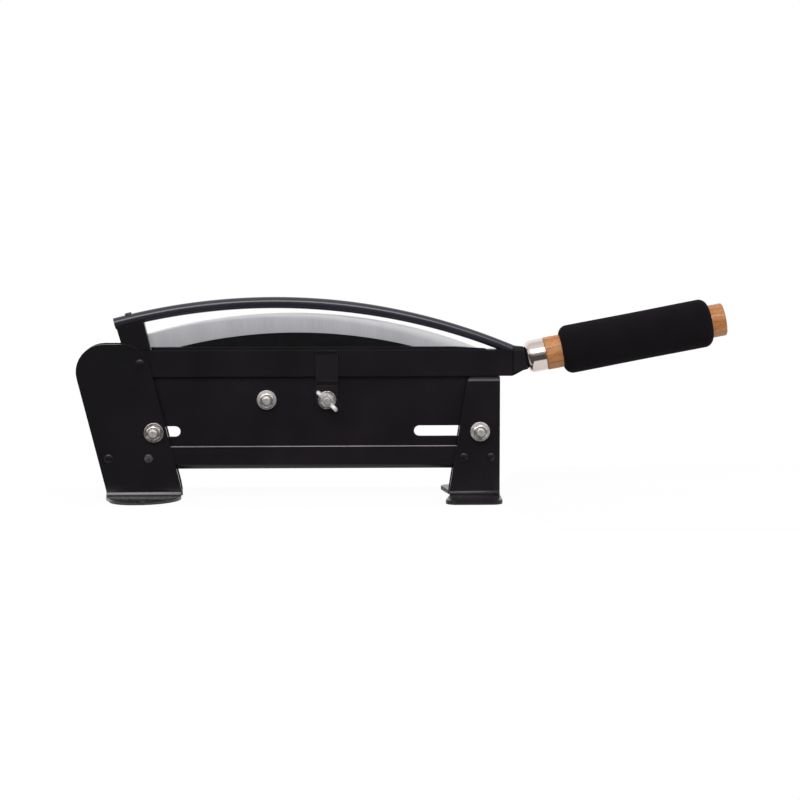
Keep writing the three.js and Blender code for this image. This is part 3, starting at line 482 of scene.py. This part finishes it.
def bow_path():
    """Points along the middle of the bow: its arch over the edge, then the reverse bend into the neck."""
    start = PIVOT + BOW_START
    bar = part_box("front_press_bar")[1]
    end = Vector((bar.x - BOW_END_INSET, 0, bar.z + BOW_END_RISE))
    centre = edge_centre()
    closest_x = PIVOT.x + BOW_CLOSEST_FROM_PIVOT - centre.x
    over_edge = Vector((closest_x, 0, math.sqrt(EDGE_RADIUS**2 - closest_x**2)))
    over_edge = centre + over_edge.normalized() * (EDGE_RADIUS + BOW_CLEARANCE + ROD_DIAMETER / 2)
    middle, radius = circle_through(start, over_edge, end)
    first = math.atan2(start.x - middle.x, start.z - middle.z)
    last = math.atan2(end.x - middle.x, end.z - middle.z)
    count = math.ceil(radius * (last - first) / BOW_STEP)
    turns = [first + (last - first) * i / count for i in range(count + 1)]
    points = [middle + radius * Vector((math.sin(t), 0, math.cos(t))) for t in turns]
    tail_middle = middle + (radius + BOW_TAIL_RADIUS) * Vector((math.sin(last), 0, math.cos(last)))
    tail_count = math.ceil(BOW_TAIL_RADIUS * BOW_TAIL_TURN / TAIL_STEP)
    tail = [last - BOW_TAIL_TURN * i / tail_count for i in range(1, tail_count + 1)]
    points += [tail_middle - BOW_TAIL_RADIUS * Vector((math.sin(t), 0, math.cos(t))) for t in tail]
    return points


def geometry_tree(name, sizes):
    """A tree of geometry nodes with a geometry input and one named input for each size."""
    tree = bpy.data.node_groups.new(name, "GeometryNodeTree")
    tree.interface.new_socket("Geometry", in_out="INPUT", socket_type="NodeSocketGeometry")
    for size in sizes:
        tree.interface.new_socket(size, in_out="INPUT", socket_type="NodeSocketFloat")
    tree.interface.new_socket("Geometry", in_out="OUTPUT", socket_type="NodeSocketGeometry")
    return tree, add(tree, "NodeGroupInput").outputs


def finish_tree(tree, geometry, material):
    """Ends a tree: whole geometry, smooth faces, one material."""
    whole = add(tree, "GeometryNodeRealizeInstances", {"Geometry": geometry})
    smooth = add(tree, "GeometryNodeSetShadeSmooth", {"Geometry": whole})
    painted = add(tree, "GeometryNodeSetMaterial", {"Geometry": smooth, "Material": material})
    add(tree, "NodeGroupOutput", {"Geometry": painted})


def grown(name, mesh, tree, sizes):
    """The plain mesh that a tree makes from a base mesh and its sizes."""
    base = bpy.data.objects.new(name, mesh)
    bpy.context.scene.collection.objects.link(base)
    grow = base.modifiers.new(name, "NODES")
    grow.node_group = tree
    for item in tree.interface.items_tree:
        if item.in_out == "INPUT" and item.name in sizes:
            grow[item.identifier] = sizes[item.name]
    evaluated = base.evaluated_get(bpy.context.evaluated_depsgraph_get())
    result = bpy.data.meshes.new_from_object(evaluated)
    result.name = name
    bpy.data.objects.remove(base)
    return result


def bow_piece(material):
    """The bow rod: a round section drawn along its path, thinner at the handle's end, with closed ends."""
    tree, given = geometry_tree("bow rod", ["Rod diameter", "Thin end"])
    path = add(tree, "GeometryNodeMeshToCurve", {"Mesh": given["Geometry"]})
    radius = add(tree, "ShaderNodeMath", {0: given["Rod diameter"], 1: 0.5}, operation="MULTIPLY")
    section = add(tree, "GeometryNodeCurvePrimitiveCircle", {"Resolution": ROD_SIDES, "Radius": radius})
    reach = add(tree, "GeometryNodeSplineParameter").outputs["Factor"]
    full, thin = ROD_TAPER
    taper = add(
        tree,
        "ShaderNodeMapRange",
        {"Value": reach, "From Min": full, "From Max": thin, "To Min": 1.0, "To Max": given["Thin end"]},
    )
    rod = add(
        tree,
        "GeometryNodeCurveToMesh",
        {"Curve": path, "Profile Curve": section, "Scale": taper, "Fill Caps": True},
    )
    finish_tree(tree, rod, material)
    points = bow_path()
    line = bpy.data.meshes.new("bow path")
    line.from_pydata(points, [(i, i + 1) for i in range(len(points) - 1)], [])
    mesh = grown("bow_rod_drawn", line, tree, {"Rod diameter": ROD_DIAMETER, "Thin end": ROD_THIN_END})
    mesh.set_sharp_from_angle(angle=SHARP_ANGLE)
    finish_piece(new_piece("bow_rod_drawn", mesh, material), "arm", "dark_steel", "bow_rod")


def thread_tree(material):
    """A tree that winds a ridge of thread from its sizes."""
    tree, given = geometry_tree("bolt thread", ["Bolt radius", "Pitch", "Depth", "Length"])
    turns = add(tree, "ShaderNodeMath", {0: given["Length"], 1: given["Pitch"]}, operation="DIVIDE")
    helix = add(
        tree,
        "GeometryNodeCurveSpiral",
        {
            "Resolution": THREAD_STEPS,
            "Rotations": turns,
            "Start Radius": given["Bolt radius"],
            "End Radius": given["Bolt radius"],
            "Height": given["Length"],
        },
    )
    ridge = add(
        tree, "GeometryNodeCurvePrimitiveCircle", {"Resolution": RIDGE_SIDES, "Radius": given["Depth"]}
    )
    thread = add(
        tree, "GeometryNodeCurveToMesh", {"Curve": helix, "Profile Curve": ridge, "Fill Caps": True}
    )
    finish_tree(tree, thread, material)
    return tree


def thread_piece(bolt, nut, tree, material):
    """The turns of thread on a bolt's free end, past its nut."""
    low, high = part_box(bolt)
    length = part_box(nut)[0].y - low.y - THREAD_PITCH
    sizes = {"Bolt radius": BOLT_RADIUS, "Pitch": THREAD_PITCH, "Depth": THREAD_DEPTH, "Length": length}
    mesh = grown(f"{bolt}_thread", bpy.data.meshes.new("empty"), tree, sizes)
    place = Vector(((low.x + high.x) / 2, low.y + THREAD_PITCH / 2, (low.z + high.z) / 2))
    mesh.transform(Matrix.Translation(place) @ Matrix.Rotation(-math.pi / 2, 4, "X"))
    finish_piece(new_piece(f"{bolt}_thread", mesh, material), "base", "zinc_steel")


def turns_of(sides):
    """The angles at which a round form has its points."""
    return [2 * math.pi * i / sides for i in range(sides)]


def ring_mesh(name, rings, sharp):
    """A closed mesh over rings of points, the last joined to the first, smooth but for its sharp edges."""
    work = bmesh.new()
    loops = [[work.verts.new(point) for point in ring] for ring in rings]
    for one, other in zip(loops, loops[1:] + loops[:1]):
        for i in range(len(one)):
            j = (i + 1) % len(one)
            work.faces.new((one[i], one[j], other[j], other[i]))
    bmesh.ops.recalc_face_normals(work, faces=work.faces)
    mesh = bpy.data.meshes.new(name)
    work.to_mesh(mesh)
    work.free()
    mesh.shade_smooth()
    mesh.set_sharp_from_angle(angle=sharp)
    return mesh


def nut_piece(node, material):
    """A hexagon nut whose corners are turned off to a round face, with a countersunk bore."""
    low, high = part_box(node)
    middle = (low + high) / 2
    flat = (high.x - low.x) / 2
    face = flat * NUT_FACE
    bore = BOLT_RADIUS + BOLT_PLAY
    sections = []
    for turn in turns_of(NUT_SIDES):
        to_flat = (turn + HEX_TURN / 2) % HEX_TURN - HEX_TURN / 2
        corner = flat / math.cos(to_flat)
        chamfer = (corner - face) * math.tan(NUT_CHAMFER)
        section = (
            (bore, high.y),
            (corner, high.y),
            (corner, low.y + chamfer),
            (face, low.y),
            (bore + NUT_SINK, low.y),
            (bore, low.y + NUT_SINK),
        )
        across, up = math.cos(turn), math.sin(turn)
        sections.append([(middle.x + r * across, y, middle.z + r * up) for r, y in section])
    mesh = ring_mesh(f"{node}_turned", list(zip(*sections)), NUT_SHARP)
    finish_piece(new_piece(f"{node}_turned", mesh, material), "base", "zinc_steel", node)


def turned_piece(name, profile, material):
    """A profile of (distance along the handle, radius) points turned about the handle's axis."""
    turns = turns_of(TURNED_SIDES)
    rings = [[(along, r * math.cos(t), r * math.sin(t)) for t in turns] for along, r in profile]
    mesh = ring_mesh(name, rings, SHARP_ANGLE)
    mesh.transform(Matrix.Translation(PIVOT + HANDLE_START) @ Matrix.Rotation(-HANDLE_TILT, 4, "Y"))
    return new_piece(name, mesh, material)


def arc(along, radius, size, start, end):
    """Profile points round an arc, by degrees from the handle's axis."""
    turns = [math.radians(start + (end - start) * i / ARC_STEPS) for i in range(ARC_STEPS + 1)]
    return [(along + size * math.cos(t), radius + size * math.sin(t)) for t in turns]


def ferrule_piece(material):
    """The ferrule: a spun cup with a round shoulder, open to the wood."""
    corner = WOOD_RADIUS - FERRULE_SHOULDER
    profile = [
        (0, TANG_HOLE),
        *arc(FERRULE_SHOULDER, corner, FERRULE_SHOULDER, 180, 90),
        (FERRULE_LENGTH, WOOD_RADIUS),
        (FERRULE_LENGTH, WOOD_RADIUS - FERRULE_WALL),
        *arc(FERRULE_SHOULDER, corner, FERRULE_SHOULDER - FERRULE_WALL, 90, 180),
        (FERRULE_WALL, TANG_HOLE),
    ]
    finish_piece(turned_piece("ferrule_spun", profile, material), "arm", "nickel_steel", "ferrule")


def wood_piece(material):
    """The wooden handle: a spigot in the ferrule, then the full width with a chamfer and a rounded end."""
    spigot = WOOD_RADIUS - FERRULE_WALL - SEAT_GAP
    groove_end = FERRULE_LENGTH + WOOD_GROOVE
    round_start = WOOD_LENGTH - WOOD_END_ROUND
    profile = [
        (FERRULE_SHOULDER, TANG_HOLE),
        (FERRULE_SHOULDER, spigot),
        (groove_end, spigot),
        (groove_end, WOOD_RADIUS - WOOD_CHAMFER),
        (groove_end + WOOD_CHAMFER, WOOD_RADIUS),
        (round_start, WOOD_RADIUS),
        *arc(round_start, WOOD_RADIUS - WOOD_END_ROUND, WOOD_END_ROUND, 90, 0),
        (WOOD_LENGTH, ON_AXIS),
        (FERRULE_SHOULDER, ON_AXIS),
    ]
    finish_piece(turned_piece("handle_turned", profile, material), "arm", "handle_wood", "handle_core")


def foam_piece(material):
    """The foam sleeve: drawn in a little at its middle by use, with full round ends that grip the wood."""
    bore = WOOD_RADIUS + SEAT_GAP
    corner = FOAM_RADIUS - FOAM_ROUND
    end = FOAM_START + FOAM_LENGTH
    span = FOAM_LENGTH - 2 * FOAM_ROUND
    middle = [
        (
            FOAM_START + FOAM_ROUND + span * i / FOAM_STEPS,
            FOAM_RADIUS - FOAM_WAIST * math.sin(math.pi * i / FOAM_STEPS) ** 2,
        )
        for i in range(1, FOAM_STEPS)
    ]
    profile = [
        (FOAM_START, bore),
        *arc(FOAM_START + FOAM_ROUND, corner, FOAM_ROUND, 180, 90),
        *middle,
        *arc(end - FOAM_ROUND, corner, FOAM_ROUND, 90, 0),
        (end, bore),
    ]
    piece = turned_piece("foam_sleeve", profile, material)
    finish_piece(piece, "arm", "grip_foam", "foam_grip")


def dress():
    """Every piece of the cutter with its finish."""
    # Most of the sheet: even and black, with a soft shine
    satin = stoved_black_paint("stoved_black_paint", "#171317", "#1d181d", 0.22, 0.28, 0.45)
    # Edges, neck and clip: thin and dull, with hardly a reflection
    matt = stoved_black_paint("matt_black_paint", "#131114", "#191619", 0.55, 0.65, 0.2)
    # The edges of the clip and the pivot pin: a shade greyer, partly paint rubbed in use and partly a painted
    # highlight along the edges
    worn_and_highlit_edge = stoved_black_paint("worn_paint_with_painted_highlight", "#1e1a1e", "#2a262a", 0.4, 0.5, 0.4)
    # The rail's edges: a pale grey line, partly paint rubbed through to the primer and partly a painted
    # highlight along the edge
    rubbed_and_highlit_edge = stoved_black_paint("rubbed_paint_with_painted_highlight", "#837d80", "#a19b9e", 0.35, 0.45, 0.5)
    # The left rivets, thinned by the riveting: patchy dark grey
    thinned = stoved_black_paint(
        "thinned_black_paint", "#2c282c", "#5c565b", 0.4, 0.5, 0.5, cloud_mm=PAINT_PATCH
    )
    # The bend of the left feet: a grey sheen, a painted highlight along the bend
    painted_bend_highlight = stoved_black_paint("painted_highlight_bend_paint", "#6a656b", "#767177", 0.24, 0.32, 0.7)
    # The left legs: deep black with a clear gloss
    leg_gloss = stoved_black_paint("glossy_black_paint", "#110e11", "#151216", 0.14, 0.18, 0.85)
    # The bow and its pin: smooth and blue-black, with a sharp line of light along the bow
    rod_gloss = stoved_black_paint("gloss_black_rod", "#2f2d37", "#36343f", 0.12, 0.17, 0.58)
    # Zinc: bright on the nuts, hazier on the bolts and some washers, pale and matt on the cast wing nut
    zinc = bright_zinc("bright_zinc", "#dbd1cd", "#f0e7e3", 0.22, 0.3)
    dull_zinc = bright_zinc("dulled_zinc", "#dad8d6", "#efedeb", 0.4, 0.5)
    cast_zinc = bright_zinc("tumbled_cast_zinc", "#efedeb", "#fdfbf9", 0.66, 0.78)

    for node in ("left_front_leg", "left_rear_leg"):
        softened(node, "base", "black_paint", SHEET_EDGE, leg_gloss, matt, painted_bend_highlight)
    for node in ("right_front_leg", "right_rear_leg"):
        softened(node, "base", "black_paint", SHEET_EDGE, satin, matt)
    plate_piece(satin, matt)
    # the rail's edges take pale paint, partly a painted highlight
    softened("base_rail", "base", "black_paint", RAIL_EDGE, satin, rubbed_and_highlit_edge)
    for rivet, head, rim in (
        ("left_outer", satin, thinned),
        ("left_inner", thinned, thinned),
        ("right_inner", satin, matt),
        ("right_outer", satin, matt),
    ):
        softened(f"{rivet}_rivet", "base", "black_paint", FASTENER_EDGE, head, rim)
    for node in ("front_press_bar", "rear_press_bar", "pivot_block"):
        softened(node, "arm", "black_paint", SHEET_EDGE, satin, matt)
    # the clip's and the pin's edges take greyer paint, partly a painted highlight
    softened("guide_clip", "guide", "black_paint", SHEET_EDGE, matt, worn_and_highlit_edge)
    softened("pivot_pin", "base", "dark_steel", FASTENER_EDGE, satin, worn_and_highlit_edge)
    softened("bow_pin", "arm", "dark_steel", FASTENER_EDGE, rod_gloss)
    softened("neck", "arm", "dark_steel", SHEET_EDGE, matt)
    thread = thread_tree(zinc)
    for side, washer_zinc in (("left", zinc), ("right", dull_zinc)):
        for kind in ("leg_washer", "front_spacer", "rear_spacer"):
            softened(f"{side}_{kind}", "base", "zinc_steel", FASTENER_EDGE, washer_zinc)
        softened(f"{side}_leg_bolt", "base", "zinc_steel", BOLT_END, dull_zinc)
        nut_piece(f"{side}_leg_nut", zinc)
        thread_piece(f"{side}_leg_bolt", f"{side}_leg_nut", thread, zinc)
    softened("blade_washer", "base", "zinc_steel", FASTENER_EDGE, dull_zinc)
    softened("guide_washer", "base", "zinc_steel", FASTENER_EDGE, zinc)
    softened("blade_bolt", "base", "zinc_steel", BOLT_END, dull_zinc)
    softened("guide_bolt", "base", "zinc_steel", BOLT_END, dull_zinc)
    nut_piece("blade_nut", zinc)
    thread_piece("blade_bolt", "blade_nut", thread, zinc)
    softened("wing_nut", "wing", "zinc_steel", CAST_EDGE, cast_zinc)
    blade_piece(ground_blade_steel(), blued_blade_steel())
    bow_piece(rod_gloss)
    ferrule_piece(polished_nickel())
    wood_piece(turned_beech())
    foam_piece(closed_cell_foam())


# Camera
CAMERA_AZIMUTH = math.radians(-1.82)
CAMERA_ELEVATION = math.radians(5.88)
CAMERA_DISTANCE = 1800 * MM
CAMERA_NEAR = 10 * MM
SENSOR_WIDTH = 36
MM_PER_PIXEL = 0.764  # at the aim point
IMAGE_WIDTH = 800
AIM = Vector((-2.02 * MM, 0, 74.43 * MM))

# Light tent: degrees over the cutter from the front, and the light that comes from there
HALF_TURN = 180
CLOTH_GLOW = [
    (0, 0.1), (6, 0.15), (13, 0.29), (20, 0.54), (28, 0.84), (60, 0.84), (90, 0.7), (146, 0.52), (180, 0.22),
]
PANEL_REACH = [(24, 0), (31, 1), (45, 1), (54, 0)]
PANEL_GLOW = 4.4
PANEL_MIDDLE = -0.15  # as the sine of the angle to the right, as are the next two
PANEL_HALF = 0.34
PANEL_FADE = 0.56
BACKDROP_RISE = (0.2, 0.6)  # sines of the angles to the rear where the backdrop starts and where it is full

# Paper under the cutter
FLOOR_HALF = 6.0
PAPER_DEPTH = 48 * MM  # how far the paper reaches to the front and rear of the base
PAPER_DEPTH_HANDLE = 150 * MM  # and of the handle
PAPER_FADE = (1.0, 1.3)  # shares of that depth between which the grey table begins
PAPER_WHITE = 0.93  # share of its white that shadows don't dim
PAPER_GLOW = 1.01  # just over white


def camera():
    """The photograph's view: almost square on from the front, and a little from above."""
    data = bpy.data.cameras.new("camera")
    data.sensor_width = SENSOR_WIDTH
    data.lens = SENSOR_WIDTH * CAMERA_DISTANCE / (MM_PER_PIXEL * MM * IMAGE_WIDTH)
    data.clip_start = CAMERA_NEAR
    eye = bpy.data.objects.new("camera", data)
    bpy.context.scene.collection.objects.link(eye)
    a, e = CAMERA_AZIMUTH, CAMERA_ELEVATION
    back = Vector((math.sin(a) * math.cos(e), -math.cos(a) * math.cos(e), math.sin(e)))
    eye.location = AIM + back * CAMERA_DISTANCE
    eye.rotation_mode = "QUATERNION"
    eye.rotation_quaternion = (-back).to_track_quat("-Z", "Y")
    bpy.context.scene.camera = eye


def background_share(tree, rearward, start, full):
    """How much of the plain white background a ray meets: all of it to the eye and through glass, and in
    shiny metal the part behind the cutter."""
    path = add(tree, "ShaderNodeLightPath").outputs
    behind = add(tree, "ShaderNodeMapRange", {"Value": rearward, "From Min": start, "From Max": full})
    shiny = add(tree, "ShaderNodeMath", {0: path["Is Glossy Ray"], 1: behind}, operation="MULTIPLY")
    seen_by = {0: path["Is Camera Ray"], 1: path["Is Transmission Ray"]}
    seen = add(tree, "ShaderNodeMath", seen_by, operation="MAXIMUM")
    return add(tree, "ShaderNodeMath", {0: seen, 1: shiny}, operation="MAXIMUM")


def light_tent():
    """A long tent of white cloth over the cutter, dim low down in front and half as bright behind, with one
    bright lamp panel high in front. To the eye it is plain white."""
    world = bpy.data.worlds.new("light tent")
    bpy.context.scene.world = world
    world.use_nodes = True
    tree = world.node_tree
    tree.nodes.clear()
    way = add(tree, "ShaderNodeTexCoord").outputs["Generated"]
    axes = add(tree, "ShaderNodeSeparateXYZ", {"Vector": way}).outputs
    front = add(tree, "ShaderNodeMath", {0: axes["Y"], 1: -1.0}, operation="MULTIPLY")
    turn = add(tree, "ShaderNodeMath", {0: axes["Z"], 1: front}, operation="ARCTAN2")
    over = add(tree, "ShaderNodeMath", {0: turn, 1: math.pi}, operation="DIVIDE")
    cloth, panel = (
        add(
            tree,
            "ShaderNodeValToRGB",
            {"Fac": over},
            [(degrees / HALF_TURN, (glow, glow, glow, 1)) for degrees, glow in glows],
        )
        for glows in (CLOTH_GLOW, PANEL_REACH)
    )
    right = add(tree, "ShaderNodeMath", {0: axes["X"], 1: PANEL_MIDDLE}, operation="SUBTRACT")
    aside = add(tree, "ShaderNodeMath", {0: right}, operation="ABSOLUTE")
    panel_edge = {"From Min": PANEL_HALF, "From Max": PANEL_FADE, "To Min": PANEL_GLOW, "To Max": 0.0}
    within = add(tree, "ShaderNodeMapRange", {"Value": aside, **panel_edge})
    lamp = add(tree, "ShaderNodeVectorMath", {0: panel, "Scale": within}, operation="SCALE")
    light = add(tree, "ShaderNodeVectorMath", {0: cloth, 1: lamp}, operation="ADD")
    soft = add(tree, "ShaderNodeBackground", {"Color": light, "Strength": 1.0})
    white = add(tree, "ShaderNodeBackground", {"Color": linear("#ffffff"), "Strength": 1.0})
    share = background_share(tree, axes["Y"], *BACKDROP_RISE)
    mixed = add(tree, "ShaderNodeMixShader", {0: share, 1: soft, 2: white})
    add(tree, "ShaderNodeOutputWorld", {"Surface": mixed})


def paper_floor():
    """White paper under the cutter on a grey table: to the eye white, with a faint shadow by the feet."""
    mesh = bpy.data.meshes.new("floor")
    corners = [(-1, -1), (1, -1), (1, 1), (-1, 1)]
    mesh.from_pydata([(x * FLOOR_HALF, y * FLOOR_HALF, 0) for x, y in corners], [], [(0, 1, 2, 3)])
    material, tree, place = new_finish("white_paper")
    axes = add(tree, "ShaderNodeSeparateXYZ", {"Vector": place}).outputs
    depth = add(tree, "ShaderNodeMath", {0: axes["Y"]}, operation="ABSOLUTE")
    reach = add(
        tree,
        "ShaderNodeMapRange",
        {
            "Value": axes["X"],
            "From Min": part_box("right_front_leg")[1].x,
            "From Max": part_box("ferrule")[1].x,
            "To Min": PAPER_DEPTH,
            "To Max": PAPER_DEPTH_HANDLE,
        },
    )
    past = add(tree, "ShaderNodeMath", {0: depth, 1: reach}, operation="DIVIDE")
    paper_end, table_start = PAPER_FADE
    away = add(
        tree,
        "ShaderNodeMapRange",
        {"Value": past, "From Min": paper_end, "From Max": table_start},
        interpolation_type="SMOOTHSTEP",
    )
    shade = add(
        tree, "ShaderNodeValToRGB", {"Fac": away}, [(0, linear("#f0f0f0")), (1, linear("#505050"))]
    )
    paper = add(tree, "ShaderNodeBsdfDiffuse", {"Color": shade})
    white = add(tree, "ShaderNodeEmission", {"Color": linear("#ffffff"), "Strength": PAPER_GLOW})
    own = add(tree, "ShaderNodeMapRange", {"Value": away, "To Min": PAPER_WHITE, "To Max": 1.0})
    seen = background_share(tree, axes["Y"], PAPER_DEPTH, 2 * PAPER_DEPTH)
    share = add(tree, "ShaderNodeMath", {0: seen, 1: own}, operation="MULTIPLY")
    mixed = add(tree, "ShaderNodeMixShader", {0: share, 1: paper, 2: white})
    add(tree, "ShaderNodeOutputMaterial", {"Surface": mixed})
    floor = new_piece("floor", mesh, material)


def studio():
    """The camera, the light and the paper, with colours shown as they are."""
    camera()
    light_tent()
    paper_floor()
    bpy.context.scene.view_settings.view_transform = "Standard"


dress()
studio()
